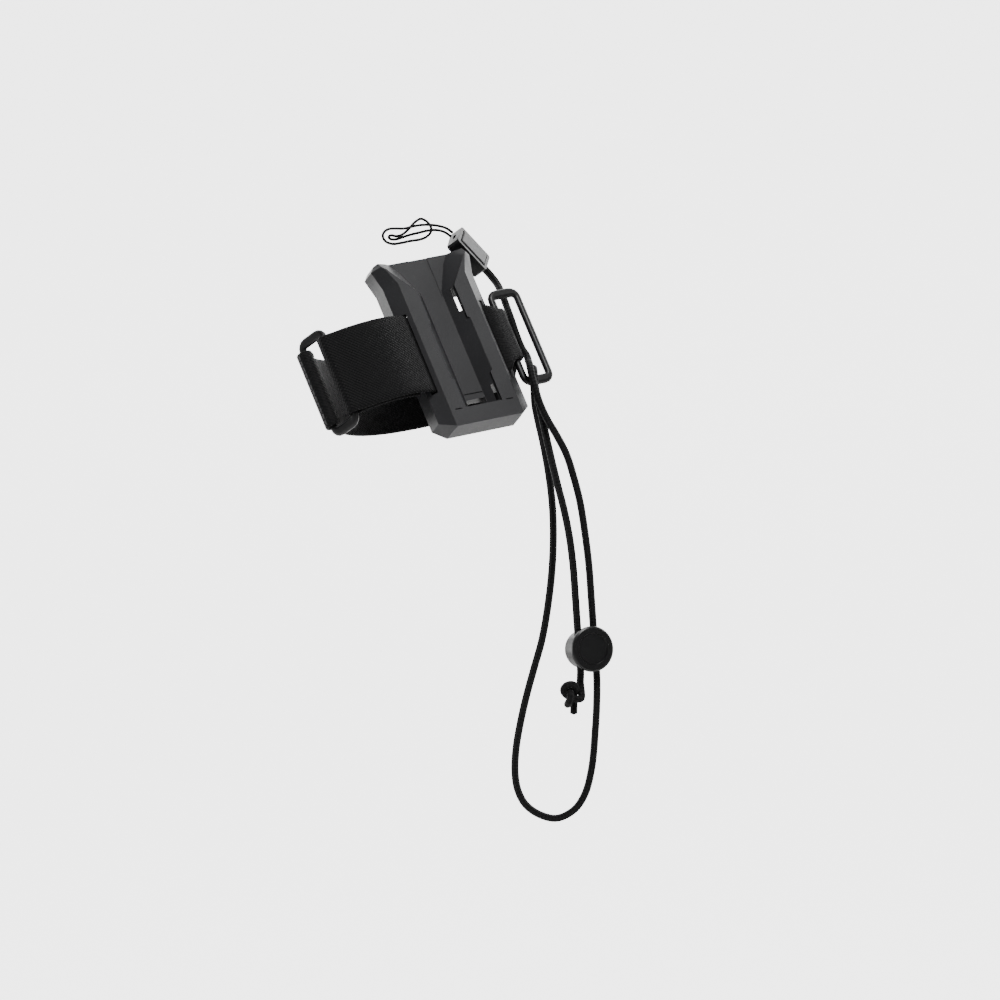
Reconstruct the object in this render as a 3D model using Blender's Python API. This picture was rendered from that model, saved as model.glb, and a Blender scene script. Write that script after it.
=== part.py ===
"""Backpack-strap cradle and tether for a handheld GPS, as separate solids.

The cradle is modelled in its own axes (x across, y to its back, z up it) and then leans
back as it is worn. The tether hangs in axes turned about the vertical (x to its right,
y away, z up). The row origin is the middle of the cradle's back face, and +Z is up.
"""

import math

import bmesh
import bpy
import numpy as np
from mathutils import Matrix, Vector

MM = 0.001
GAP = 0.3  # clearance between touching pieces, mm

# How the cradle sits on the wearer, degrees
LEAN_BACK = 26.4
ROLL = 11.7
TETHER_TURN = 24.6

# Cradle moulding, mm
CRADLE_HALF_WIDTH = 22.9
FRONT_HALF_WIDTH = 17.0
CRADLE_HALF_HEIGHT = 42.0
CRADLE_DEPTH = 12.5
SIDE_DEPTH = 8.1
FLARE_START = 29.8
FLOOR_Y = -7.0

# Channel for the device's clip, mm
FLOOR_HALF_WIDTH = 5.0
MOUTH_HALF_WIDTH = 10.6
HOOK_HALF_WIDTH = 9.3
CHANNEL_BOTTOM = -34.0
LOWER_HOOK_TOP = -20.0
UPPER_HOOK_BOTTOM = 8.0
FUNNEL_START = 24.0
UPPER_WINDOW = (12.0, 23.5)
LOWER_WINDOW = (-32.8, -25.0)
WINDOW_INNER_X = 8.0
WINDOW_OUTER_X = 16.6
LATCH_WINDOW = (-33.0, -29.0)

# Back cover, mm
COVER_HALF_WIDTH = 17.2
COVER_LOW = -39.6
COVER_HIGH = 37.6
COVER_THICKNESS = 2.0
SCREW_X = 13.6
SCREW_HEIGHTS = (-36.3, 31.5)

# Webbing, mm
WEBBING = 1.5
STRAP_LOW = -23.5
STRAP_HIGH = 14.5
ROLL_LOW = -15.5
ROLL_HIGH = 9.5

# Rings, mm
RING_MID_HEIGHT = -4.5
BAR_SPACING = 13.0
LONG_BAR = 3.4
END_BAR = 4.5
RING_HEIGHT = 48.0
RING_THICKNESS = 2.8
RING_CORNER = 5.0
RING_EYE_CORNER = 0.8
RIGHT_BAR = (26.6, -8.0)
LEFT_BAR = (-57.5, -4.3)
LEFT_RING_TURN = 115.5
WRAP_RADIUS = 2.8

# Tether, mm
CORD_DIAMETER = 3.0
LANYARD_DIAMETER = 1.0

# Box-shaped connector between tether and lanyard, mm
CONNECTOR_SIZE = (19.2, 12.6)
CONNECTOR_BACK = -3.6
CONNECTOR_RIM = 3.1
CONNECTOR_FACE = 3.6
CONNECTOR_WALL = 1.6
CONNECTOR_PLACE = (10.1, 28.8, 44.0)
CONNECTOR_TURN = (45.7, 43.4, 26.2)

# Cord lock, mm
LOCK_PLACE = (62.1, -7.0, -131.9)
LOCK_LEAN = -4.0
HOLE_SPACING = 7.6
HOLE_RADIUS = 1.8
PRESS = 1.6


# ---------------------------------------------------------------- materials and helpers

def clear_scene():
    for thing in list(bpy.data.objects):
        bpy.data.objects.remove(thing, do_unlink=True)


def material(name, grey, roughness, metallic=0.0):
    made = bpy.data.materials.new(name)
    made.use_nodes = True
    shader = made.node_tree.nodes["Principled BSDF"]
    shader.inputs["Base Color"].default_value = (grey, grey, grey * 1.03, 1.0)
    shader.inputs["Roughness"].default_value = roughness
    shader.inputs["Metallic"].default_value = metallic
    return made


def empty(name, parent=None, place=(0, 0, 0), turn=(0, 0, 0)):
    """A local frame: place in millimetres and turn in degrees, in its parent's frame."""
    made = bpy.data.objects.new(name, None)
    bpy.context.scene.collection.objects.link(made)
    made.parent = parent
    made.location = [value * MM for value in place]
    made.rotation_euler = [math.radians(value) for value in turn]
    return made


def add_mesh(name, mesh_data, finish, parent, smooth=None):
    """Turns a bmesh drawn in millimetres into an object in metres."""
    bmesh.ops.recalc_face_normals(mesh_data, faces=mesh_data.faces)
    bmesh.ops.scale(mesh_data, vec=(MM, MM, MM), verts=mesh_data.verts)
    mesh = bpy.data.meshes.new(name)
    mesh_data.to_mesh(mesh)
    mesh_data.free()
    made = bpy.data.objects.new(name, mesh)
    bpy.context.scene.collection.objects.link(made)
    made.parent = parent
    if finish:
        mesh.materials.append(finish)
    if smooth:
        mesh.shade_smooth()
        mesh.set_sharp_from_angle(angle=math.radians(smooth))
    return made


def loops_to_mesh(loops, closed=False):
    """Bridges loops of equal length in order. An open stack gets end caps, a closed one
    joins its last loop to its first."""
    made = bmesh.new()
    rings = [[made.verts.new(point) for point in loop] for loop in loops]
    count = len(rings[0])
    pairs = list(zip(rings, rings[1:]))
    if closed:
        pairs.append((rings[-1], rings[0]))
    for low, high in pairs:
        for i in range(count):
            j = (i + 1) % count
            made.faces.new((low[i], low[j], high[j], high[i]))
    if not closed:
        made.faces.new(rings[0])
        made.faces.new(rings[-1])
    bmesh.ops.triangulate(made, faces=made.faces)
    return made


def block(x_range, y_range, z_range):
    """Loops of a rectangular block, as two faces along y."""
    corners = [(x_range[0], z_range[0]), (x_range[1], z_range[0])]
    corners += [(x_range[1], z_range[1]), (x_range[0], z_range[1])]
    return [[(x, y, z) for x, z in corners] for y in y_range]


def upright(outline, z_range):
    """Loops of an outline in x and y that runs straight up z."""
    return [[(x, y, z) for x, y in outline] for z in z_range]


def turned(profile, steps=40):
    """A closed solid of revolution about y: profile is (radius, y) from the axis and back."""
    made = bmesh.new()
    rings = []
    for radius, y in profile:
        if radius == 0:
            rings.append([made.verts.new((0, y, 0))])
            continue
        angles = [2 * math.pi * i / steps for i in range(steps)]
        rings.append(
            [made.verts.new((radius * math.cos(a), y, radius * math.sin(a))) for a in angles]
        )
    for low, high in zip(rings, rings[1:]):
        for i in range(steps):
            j = (i + 1) % steps
            corners = [low[i % len(low)], low[j % len(low)], high[j % len(high)], high[i % len(high)]]
            unique = list(dict.fromkeys(corners))
            made.faces.new(unique)
    return made


def moved(made, offset=(0, 0, 0), axis=None, degrees=0):
    """A bmesh turned about a main axis, then moved."""
    if axis:
        turn = Matrix.Rotation(math.radians(degrees), 3, axis)
        bmesh.ops.rotate(made, verts=made.verts, matrix=turn)
    bmesh.ops.translate(made, verts=made.verts, vec=offset)
    return made


def cut(body, name, shape):
    """Cuts a bmesh out of body with an exact Boolean."""
    cutter = add_mesh(name, shape, None, body.parent)
    cutter.matrix_parent_inverse = body.matrix_parent_inverse
    cutter.location = body.location
    cutter.hide_render = True
    cutter.display_type = "WIRE"
    hole = body.modifiers.new(name, "BOOLEAN")
    hole.operation = "DIFFERENCE"
    hole.object = cutter
    return cutter


def smooth_curve(points, spacing):
    """Points of any dimension, evenly spaced on a centripetal Catmull-Rom curve."""
    known = [np.array(point, float) for point in points]
    known = [2 * known[0] - known[1]] + known + [2 * known[-1] - known[-2]]
    fine = []
    for a, b, c, d in zip(known, known[1:], known[2:], known[3:]):
        steps = [max(np.linalg.norm(q - p), 1e-6) ** 0.5 for p, q in ((a, b), (b, c), (c, d))]
        t0, t1 = 0.0, steps[0]
        t2 = t1 + steps[1]
        t3 = t2 + steps[2]
        for t in np.linspace(t1, t2, 12, endpoint=False):
            ab = (t1 - t) / (t1 - t0) * a + (t - t0) / (t1 - t0) * b
            bc = (t2 - t) / (t2 - t1) * b + (t - t1) / (t2 - t1) * c
            cd = (t3 - t) / (t3 - t2) * c + (t - t2) / (t3 - t2) * d
            abc = (t2 - t) / (t2 - t0) * ab + (t - t0) / (t2 - t0) * bc
            bcd = (t3 - t) / (t3 - t1) * bc + (t - t1) / (t3 - t1) * cd
            fine.append((t2 - t) / (t2 - t1) * abc + (t - t1) / (t2 - t1) * bcd)
    fine.append(known[-2])
    fine = np.array(fine)
    along = np.concatenate([[0], np.cumsum(np.linalg.norm(np.diff(fine, axis=0), axis=1))])
    count = max(2, round(along[-1] / spacing) + 1)
    wanted = np.linspace(0, along[-1], count)
    return [tuple(np.interp(wanted, along, fine[:, k]) for k in range(fine.shape[1]))][0], wanted


def curve_points(points, spacing):
    columns, _ = smooth_curve(points, spacing)
    return [tuple(float(column[i]) for column in columns) for i in range(len(columns[0]))]


def cord_tube(name, points, diameter, finish, parent, spacing):
    """A round cord along a smooth curve through points, with closed ends."""
    route = curve_points(points, spacing)
    curve = bpy.data.curves.new(name, "CURVE")
    curve.dimensions = "3D"
    spline = curve.splines.new("POLY")
    spline.points.add(len(route) - 1)
    for slot, point in zip(spline.points, route):
        slot.co = (point[0] * MM, point[1] * MM, point[2] * MM, 1.0)
    curve.bevel_depth = diameter / 2 * MM
    curve.bevel_resolution = 2
    curve.use_fill_caps = True
    curve.materials.append(finish)
    made = bpy.data.objects.new(name, curve)
    bpy.context.scene.collection.objects.link(made)
    made.parent = parent
    return made


# ---------------------------------------------------------------- cradle moulding

def cradle_outline():
    """(across, up) corners of the side walls and of the front face, right half."""
    side = [(FRONT_HALF_WIDTH, -CRADLE_HALF_HEIGHT), (CRADLE_HALF_WIDTH, -37.7)]
    side += [(CRADLE_HALF_WIDTH, FLARE_START), (25.2, 38.8), (22.8, 41.6)]
    front = [(FRONT_HALF_WIDTH - 0.4, -CRADLE_HALF_HEIGHT), (FRONT_HALF_WIDTH, -41.7)]
    front += [(FRONT_HALF_WIDTH, FLARE_START - 0.4), (21.2, 39.2), (20.4, 41.6)]
    return side, front


def mirrored_loop(half, y):
    right = [(x, y, z) for x, z in half]
    left = [(-x, y, z) for x, z in reversed(half)]
    return right + left


def channel_section(z, floor_half, mouth_half, lip_y):
    """The clip channel across its length: flat floor, slanted walls and straight lips."""
    right = [(floor_half, FLOOR_Y), (mouth_half, lip_y), (mouth_half, -14.0)]
    outline = right + [(-x, y) for x, y in reversed(right)]
    return [(x, y, z) for x, y in outline]


def cut_channel(shell):
    """Hooks overhang the channel near both ends, and a funnel leads into it from the top."""
    hook = (FLOOR_HALF_WIDTH, HOOK_HALF_WIDTH, -11.2)
    middle = (FLOOR_HALF_WIDTH, MOUTH_HALF_WIDTH, -12.6)
    stations = [(CHANNEL_BOTTOM, *hook), (LOWER_HOOK_TOP, *hook), (LOWER_HOOK_TOP + 1, *middle)]
    stations += [(UPPER_HOOK_BOTTOM - 1, *middle), (UPPER_HOOK_BOTTOM, *hook), (FUNNEL_START, *hook)]
    stations += [(37.2, 11.5, 19.8, -12.7), (43.0, 16.0, 30.0, -12.9)]
    cut(shell, "cut_channel", loops_to_mesh([channel_section(*station) for station in stations]))
    half = FLOOR_HALF_WIDTH - 0.2
    recess = block((-half, half), (FLOOR_Y - 0.5, FLOOR_Y + 0.35), (21.5, 43.5))
    cut(shell, "cut_floor_recess", loops_to_mesh(recess))


def cut_windows(shell):
    """See-through moulding windows under the hooks, hollow behind the rails."""
    for side, sign in (("right", 1), ("left", -1)):
        across = sorted((sign * WINDOW_INNER_X, sign * WINDOW_OUTER_X))
        for name, height in (("upper", UPPER_WINDOW), ("lower", LOWER_WINDOW)):
            shape = block(across, (-10.9, 1.0), height)
            cut(shell, f"cut_{name}_window_{side}", loops_to_mesh(shape))
    cut(shell, "cut_latch_window", loops_to_mesh(block((-4.8, 4.8), (-9, 1), LATCH_WINDOW)))
    groove = block((-4.8, 4.8), (-9, FLOOR_Y + 0.5), (-26.7, -25.9))
    cut(shell, "cut_latch_groove", loops_to_mesh(groove))
    for side, sign in (("right", 1), ("left", -1)):
        slit = block(sorted((sign * 11.2, sign * 14.7)), (-14, -12.0), (-34.4, -33.9))
        cut(shell, f"cut_slit_{side}", loops_to_mesh(slit))


def cut_strap_tunnel(shell):
    """The tunnel behind the floor, with a slanted slot out through each side bevel."""
    low, high = STRAP_LOW - 0.6, STRAP_HIGH + 0.6
    cut(shell, "cut_strap_tunnel", loops_to_mesh(block((-15.2, 15.2), (-4.95, 1.2), (low, high))))
    front = [(8.6, -4.6), (12.3, -6.2), (16.3, -9.4), (19.8, -12.0), (20.6, -13.5)]
    back = [(26.0, -10.2), (21.4, -9.7), (18.0, -7.2), (14.9, -4.4)]
    for side, sign in (("right", 1), ("left", -1)):
        outline = [(sign * x, y) for x, y in front + back]
        shape = loops_to_mesh(upright(outline, (low - 0.1, high + 0.1)))
        cut(shell, f"cut_strap_slot_{side}", shape)


def cut_cover_seat(shell):
    reach = COVER_HALF_WIDTH + GAP
    seat = block((-reach, reach), (-COVER_THICKNESS - GAP, 1.0), (COVER_LOW - GAP, COVER_HIGH + GAP))
    cut(shell, "cut_cover_seat", loops_to_mesh(seat))
    for number, (x, z) in enumerate(screw_places(), 1):
        pilot = moved(turned([(0, -8.0), (1.3, -8.0), (1.3, 0.5), (0, 0.5)], 16), (x, 0, z))
        cut(shell, f"cut_pilot_{number}", pilot)


def cradle_shell(finish, parent):
    side, front = cradle_outline()
    loops = [mirrored_loop(side, 0), mirrored_loop(side, -SIDE_DEPTH)]
    loops.append(mirrored_loop(front, -CRADLE_DEPTH))
    shell = add_mesh("cradle_shell", loops_to_mesh(loops), finish, parent, smooth=30)
    cut_channel(shell)
    cut_windows(shell)
    cut_strap_tunnel(shell)
    cut_cover_seat(shell)
    return shell


# ---------------------------------------------------------------- back cover and screws

def screw_places():
    return [(sign * SCREW_X, z) for z in SCREW_HEIGHTS for sign in (-1, 1)]


def back_cover(finish, parent):
    body = block((-COVER_HALF_WIDTH, COVER_HALF_WIDTH), (-COVER_THICKNESS, 0), (COVER_LOW, COVER_HIGH))
    cover = add_mesh("back_cover", loops_to_mesh(body), finish, parent, smooth=30)
    for side, sign in (("right", 1), ("left", -1)):
        across = sorted((sign * WINDOW_INNER_X, sign * (WINDOW_OUTER_X - 0.6)))
        for name, height in (("upper", UPPER_WINDOW), ("lower", LOWER_WINDOW)):
            shape = loops_to_mesh(block(across, (-3, 1), height))
            cut(cover, f"cut_cover_{name}_{side}", shape)
    latch = block((-5.6, 5.6), (-3, 1), (LATCH_WINDOW[0], LATCH_WINDOW[1] + 3.2))
    cut(cover, "cut_cover_latch", loops_to_mesh(latch))
    for number, (x, z) in enumerate(screw_places(), 1):
        sink = turned([(0, -3), (1.35, -3), (1.35, -1.5), (2.4, -0.45), (2.4, 1), (0, 1)], 20)
        cut(cover, f"cut_sink_{number}", moved(sink, (x, 0, z)))
    return cover


def cover_screws(finish, parent):
    """Self-tapping screws with countersunk heads and a cross slot."""
    for number, (x, z) in enumerate(screw_places(), 1):
        profile = [(0, -7.2), (0.6, -7.0), (1.0, -6.2), (1.0, -1.65), (2.0, -0.65), (2.0, -0.3)]
        shape = moved(turned(profile + [(0, -0.3)], 16), (x, 0, z))
        screw = add_mesh(f"cover_screw_{number}", shape, finish, parent, smooth=40)
        for arm, span in (("a", (1.2, 0.25)), ("b", (0.25, 1.2))):
            slot = block((x - span[0], x + span[0]), (-0.9, 0.2), (z - span[1], z + span[1]))
            cut(screw, f"cut_cross_{number}_{arm}", loops_to_mesh(slot))


# ---------------------------------------------------------------- webbing

def arc(centre, start, end, steps):
    """Points around a bar at the webbing's own radius, degrees."""
    angles = [math.radians(start + (end - start) * i / steps) for i in range(steps + 1)]
    return [
        (centre[0] + WRAP_RADIUS * math.cos(a), centre[1] + WRAP_RADIUS * math.sin(a))
        for a in angles
    ]


def ribbon(stations, thickness, spacing):
    """A band on edge: stations are (x, y, low, high) along its middle line."""
    points = curve_points(stations, spacing)
    flat = np.array(points)[:, :2]
    along = np.gradient(flat, axis=0)
    along /= np.linalg.norm(along, axis=1)[:, None]
    across = np.stack([-along[:, 1], along[:, 0]], axis=1) * thickness / 2
    loops = []
    for (x, y, low, high), (dx, dy) in zip(points, across):
        loops.append(
            [(x + dx, y + dy, low), (x + dx, y + dy, high), (x - dx, y - dy, high), (x - dx, y - dy, low)]
        )
    return loops_to_mesh(loops)


def front_left_line():
    """The webbing's front layer between the left slot and the left ring."""
    return [(-26.5, -13.1), (-33.0, -13.9), (-41.0, -13.0), (-49.0, -10.8), (-54.5, -8.4)]


def behind(line, distance):
    """A line moved towards the back, square to itself."""
    flat = np.array(line, float)
    along = np.gradient(flat, axis=0)
    along /= np.linalg.norm(along, axis=1)[:, None]
    return [tuple(p) for p in flat + np.stack([along[:, 1], -along[:, 0]], axis=1) * distance]


def left_ring_bar(far):
    """Centre of a long bar of the left ring: the near one, or the far one."""
    angle = math.radians(LEFT_RING_TURN)
    reach = BAR_SPACING if far else 0
    return (LEFT_BAR[0] + reach * math.cos(angle), LEFT_BAR[1] + reach * math.sin(angle))


def strap_webbing(finish, parent):
    """One length of webbing: hook end, left ring, cradle, right ring, round the back, sewn end."""
    full = (STRAP_LOW, STRAP_HIGH)
    front = front_left_line()
    tail = list(reversed(behind(list(reversed(front)), -3.2)))
    stations = [(x, y, *full) for x, y in tail]
    stations += [(x, y, *full) for x, y in arc(LEFT_BAR, 62, 248, 9)]
    stations += [(x, y, *full) for x, y in reversed(front)]
    slot = [(-21.4, -11.6), (-17.2, -8.2), (-13.4, -4.9), (-10.0, -3.8)]
    stations += [(x, y, *full) for x, y in slot]
    stations += [(0, -3.8, *full), (10.0, -3.8, *full), (13.4, -4.9, *full)]
    stations += [(17.2, -8.2, -22.8, 14.0), (20.9, -11.0, -20.0, 12.4)]
    stations += [(23.6, -11.4, ROLL_LOW - 1.5, ROLL_HIGH + 1)]
    stations += [(x, y, ROLL_LOW, ROLL_HIGH) for x, y in arc(RIGHT_BAR, -86, 4, 5)]
    stations += [(29.2, -3.0, ROLL_LOW, ROLL_HIGH + 0.5), (28.9, 3.5, -19.0, 12.0)]
    rear = [(27.6, 10.5), (23.5, 18.0), (15.0, 23.8), (3.0, 26.6), (-12.0, 27.4)]
    rear += [(-28.0, 26.4), (-42.0, 23.0), (-52.0, 18.0), (-57.6, 13.2)]
    stations += [(x, y, *full) for x, y in rear]
    sewn = arc(left_ring_bar(True), 58, 322, 11)
    stations += [(x, y, STRAP_LOW + 0.6, STRAP_HIGH - 0.6) for x, y in sewn]
    shape = ribbon(stations, WEBBING, 1.7)
    return add_mesh("strap_webbing", shape, finish, parent, smooth=40)


def hook_tab(finish, parent):
    """Hook tape between the folded tail and the front layer of the webbing."""
    line = behind(front_left_line(), 1.6)[1:4]
    stations = [(x, y, STRAP_LOW + 1.5, STRAP_HIGH - 1.5) for x, y in line]
    return add_mesh("hook_tab", ribbon(stations, 0.9, 3.0), finish, parent, smooth=40)


# ---------------------------------------------------------------- rings

def rounded_rectangle(half_x, half_z, radius, y, centre):
    points = []
    for quarter, (sx, sz) in enumerate(((1, 1), (-1, 1), (-1, -1), (1, -1))):
        for step in range(5):
            angle = math.radians(90 * quarter + 22.5 * step)
            x = sx * (half_x - radius) + radius * math.cos(angle)
            z = sz * (half_z - radius) + radius * math.sin(angle)
            points.append((centre[0] + x, y, centre[1] + z))
    return points


def webbing_ring(name, finish, parent):
    """A rectangular ring of rounded bar, with one long bar's middle on the local z axis."""
    soft = 0.9
    half_x = BAR_SPACING / 2 + LONG_BAR / 2
    half_z = RING_HEIGHT / 2
    half_t = RING_THICKNESS / 2
    centre = (BAR_SPACING / 2, RING_MID_HEIGHT)
    outer = (half_x, half_z, RING_CORNER)
    inner = (half_x - LONG_BAR, half_z - END_BAR, RING_EYE_CORNER)
    section = [(outer, 0, -half_t + soft), (outer, 0, half_t - soft), (outer, -soft, half_t)]
    section += [(inner, soft, half_t), (inner, 0, half_t - soft), (inner, 0, -half_t + soft)]
    section += [(inner, soft, -half_t), (outer, -soft, -half_t)]
    loops = []
    for (hx, hz, radius), grow, y in section:
        loops.append(rounded_rectangle(hx + grow, hz + grow, radius + grow, y, centre))
    return add_mesh(name, loops_to_mesh(loops, closed=True), finish, parent, smooth=50)


# ---------------------------------------------------------------- connector

def connector_body(finish, parent):
    half_x, half_y = CONNECTOR_SIZE[0] / 2, CONNECTOR_SIZE[1] / 2
    corners = [(half_x - 0.9, -half_y), (half_x, -half_y + 0.9), (half_x, half_y - 0.9)]
    corners += [(half_x - 0.9, half_y)]
    outline = corners + [(-x, y) for x, y in reversed(corners)]
    body = loops_to_mesh(upright(outline, (CONNECTOR_BACK, CONNECTOR_RIM)))
    made = add_mesh("connector_body", body, finish, parent, smooth=30)
    inner_x, inner_y = half_x - CONNECTOR_WALL, half_y - CONNECTOR_WALL
    room = [(-inner_x, -inner_y), (inner_x, -inner_y), (inner_x, inner_y), (-inner_x, inner_y)]
    cut(made, "cut_connector_room", loops_to_mesh(upright(room, (CONNECTOR_BACK + 1.5, 5))))
    tether_hole = moved(turned([(0, 0), (HOLE_RADIUS, 0), (HOLE_RADIUS, 6), (0, 6)], 16), (0, 0, 0), "Z", -90)
    cut(made, "cut_tether_hole", moved(tether_hole, (half_x - 3, 0, -0.2)))
    slot = [(-half_x - 1, -1.6), (-half_x + 3, -1.6), (-half_x + 3, 1.6), (-half_x - 1, 1.6)]
    cut(made, "cut_lanyard_slot", loops_to_mesh(upright(slot, (-1.0, 0.6))))
    return made


def connector_cover(finish, parent):
    """The snap-in plate that closes the connector, with a bevelled edge."""
    half_x = CONNECTOR_SIZE[0] / 2 - CONNECTOR_WALL - 0.35
    half_y = CONNECTOR_SIZE[1] / 2 - CONNECTOR_WALL - 0.35
    loops = []
    for inset, z in ((0, 1.9), (0, CONNECTOR_FACE - 0.4), (0.4, CONNECTOR_FACE)):
        x, y = half_x - inset, half_y - inset
        loops.append([(-x, -y, z), (x, -y, z), (x, y, z), (-x, y, z)])
    return add_mesh("connector_cover", loops_to_mesh(loops), finish, parent, smooth=30)


def cord_stop(name, place, size, finish, parent):
    """A knot that keeps a cord in the connector, as a flattened ball."""
    made = bmesh.new()
    bmesh.ops.create_icosphere(made, subdivisions=2, radius=1.0)
    bmesh.ops.scale(made, vec=size, verts=made.verts)
    return add_mesh(name, moved(made, place), finish, parent, smooth=80)


# ---------------------------------------------------------------- cord lock

def cross_holes(name, body, y_range):
    """Two holes side by side, along the cords."""
    for side, x in (("left", -HOLE_SPACING / 2), ("right", HOLE_SPACING / 2)):
        outline = []
        for step in range(16):
            angle = 2 * math.pi * step / 16
            y = y_range[1] if math.sin(angle) > 0 else y_range[0]
            outline.append((x + HOLE_RADIUS * math.cos(angle), y + HOLE_RADIUS * math.sin(angle)))
        cut(body, f"cut_{name}_{side}", loops_to_mesh(upright(outline, (-12, 12))))


def lock_barrel(finish, parent):
    """The cup of the cord lock, open towards the button."""
    profile = [(0, 6.0), (7.2, 6.0), (8.1, 5.6), (8.4, 4.8), (8.4, -2.2), (8.1, -2.7)]
    profile += [(7.2, -2.7), (6.95, -2.4), (6.95, 4.6), (0, 4.6)]
    made = add_mesh("lock_barrel", turned(profile), finish, parent, smooth=40)
    cross_holes("barrel_hole", made, (0.001, -0.001))
    return made


def lock_plunger(finish, parent):
    """The button and its stem: a wide rimmed disc in front, cord slots through the stem."""
    profile = [(0, -6.0), (6.7, -6.0), (7.1, -6.6), (9.3, -6.6), (9.9, -6.2), (10.1, -5.6)]
    profile += [(10.1, -5.0), (9.7, -4.5), (6.6, -4.5), (6.6, 2.6), (6.2, 3.0), (1.7, 3.0)]
    profile += [(1.7, -3.4), (0, -3.4)]
    made = add_mesh("lock_plunger", turned(profile), finish, parent, smooth=40)
    cross_holes("plunger_slot", made, (-PRESS - 0.05, 0.001))
    return made


def lock_spring(finish, parent):
    """The small spring behind the stem, drawn at its pressed length."""
    coil_radius, wire, turns, low, high = 1.15, 0.2, 7, -1.4, 4.05
    loops = []
    steps = turns * 14
    for step in range(steps + 1):
        angle = 2 * math.pi * step / 14
        y = low + (high - low) * step / steps
        loop = []
        for side in range(6):
            turn = 2 * math.pi * side / 6
            radius = coil_radius + wire * math.cos(turn)
            loop.append((radius * math.cos(angle), y + wire * math.sin(turn), radius * math.sin(angle)))
        loops.append(loop)
    return add_mesh("lock_spring", loops_to_mesh(loops), finish, parent, smooth=60)


# ---------------------------------------------------------------- tether and lanyard routes

def tether_routes():
    """The 3 mm cord's four stretches, in the tether's axes, mm, from the connector on."""
    upper = [(16.5, 32.0, 37.2), (19.4, 33.3, 34.1), (22.4, 31.3, 30.2), (24.6, 25.6, 25.8)]
    upper += [(26.6, 19.2, 20.2), (28.9, 13.6, 13.6), (31.4, 10.0, 6.1), (33.9, 7.2, 0.0)]
    upper += [(35.8, 4.6, -2.9), (36.6, 1.0, -5.7), (36.9, -2.8, -6.6), (37.5, -6.6, -9.6)]
    upper += [(38.4, -8.6, -14.0), (39.7, -9.2, -18.6), (41.4, -9.4, -24.0)]
    loop = [(41.5, -9.4, -24.3), (44.6, -9.5, -31.0), (48.4, -9.3, -37.4), (53.0, -8.8, -46.2)]
    loop += [(56.3, -8.2, -56.4), (59.1, -7.4, -67.4), (61.4, -6.6, -81.9), (63.0, -5.7, -95.0)]
    loop += [(64.1, -5.45, -110.0), (65.6, -5.42, -131.9), (66.5, -5.4, -145.0)]
    loop += [(66.4, -5.2, -157.0), (65.8, -4.8, -168.0), (64.3, -4.4, -184.0)]
    loop += [(61.3, -3.8, -195.6), (56.6, -3.0, -202.6), (49.0, -2.2, -206.4), (41.4, -1.4, -204.8)]
    loop += [(35.2, -0.6, -200.4), (31.8, 0.4, -194.0), (30.6, 1.4, -186.5), (31.0, 2.6, -176.5)]
    loop += [(32.8, 3.8, -165.5), (35.8, 5.0, -152.3), (39.2, 6.0, -140.0), (42.5, 6.6, -128.1)]
    loop += [(45.0, 7.0, -114.0), (46.9, 7.0, -97.3), (47.5, 6.6, -82.0), (47.0, 6.0, -68.0)]
    loop += [(45.3, 5.4, -54.0), (42.9, 4.8, -41.0), (40.4, 4.3, -30.0), (39.4, 4.1, -24.3)]
    turn = [(39.3, 4.1, -24.0), (39.0, 4.1, -18.6), (38.7, 4.5, -13.8), (38.5, 3.2, -9.6)]
    turn += [(38.7, -0.2, -8.5), (39.0, -3.2, -10.5), (39.1, -4.6, -13.8), (39.8, -5.0, -18.6)]
    turn += [(41.0, -5.3, -24.0)]
    tail = [(41.1, -5.3, -24.3), (42.6, -5.6, -31.0), (45.9, -6.2, -45.8), (49.3, -7.0, -59.9)]
    tail += [(52.0, -7.6, -70.5), (54.3, -8.0, -81.9), (56.0, -8.4, -95.0), (57.1, -8.55, -110.0)]
    tail += [(58.6, -8.58, -131.9), (59.3, -8.6, -141.0), (58.3, -8.6, -146.8)]
    return upper, loop, turn, tail


def lanyard_route():
    """(right, lift, up) points of the thin loop, mm. Lift is towards the back, off the plane
    of the cradle's back, where strands pass over each other."""
    out = [(2.9, 0, 52.4), (0.2, 0, 54.3), (-3.2, 0, 55.3), (-6.8, 0, 55.7), (-10.5, 0, 55.6)]
    out += [(-14.0, 0, 55.0), (-18.4, 0, 53.8), (-22.2, 0, 53.7), (-25.2, 0, 53.4)]
    out += [(-27.3, 0, 51.9), (-27.8, 0, 49.9), (-26.6, 0, 47.8), (-23.7, 0.2, 46.7)]
    out += [(-19.8, 0.2, 47.2), (-15.6, 0, 48.2), (-11.6, -0.2, 48.9), (-8.6, -0.6, 50.2)]
    out += [(-6.8, -1.4, 52.2), (-6.6, -1.8, 54.2), (-7.8, -1.8, 56.4), (-9.9, -1.4, 58.0)]
    out += [(-11.3, -1.4, 58.3), (-12.9, -1.6, 57.4), (-14.6, -1.8, 55.8), (-16.4, -1.5, 53.6)]
    out += [(-19.0, -0.6, 51.2), (-21.8, 0, 50.2), (-24.2, 0.9, 50.6), (-25.3, 1.8, 50.0)]
    out += [(-24.6, 1.8, 49.0), (-22.4, 1.5, 48.8), (-19.6, 1.4, 49.7), (-16.3, 1.3, 50.9)]
    out += [(-12.0, 1.3, 52.1), (-7.6, 1.2, 53.2), (-3.9, 0.8, 53.4), (-1.2, 0.4, 52.8)]
    out += [(0.9, 0.1, 51.6), (2.1, 0, 50.6)]
    end = lanyard_end_plane()
    return [(x, (end + 0.373 * x + 0.444 * z) / 0.814 + lift, z) for x, lift, z in out]


def lanyard_end_plane():
    return -3.2


# ---------------------------------------------------------------- assembly

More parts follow.
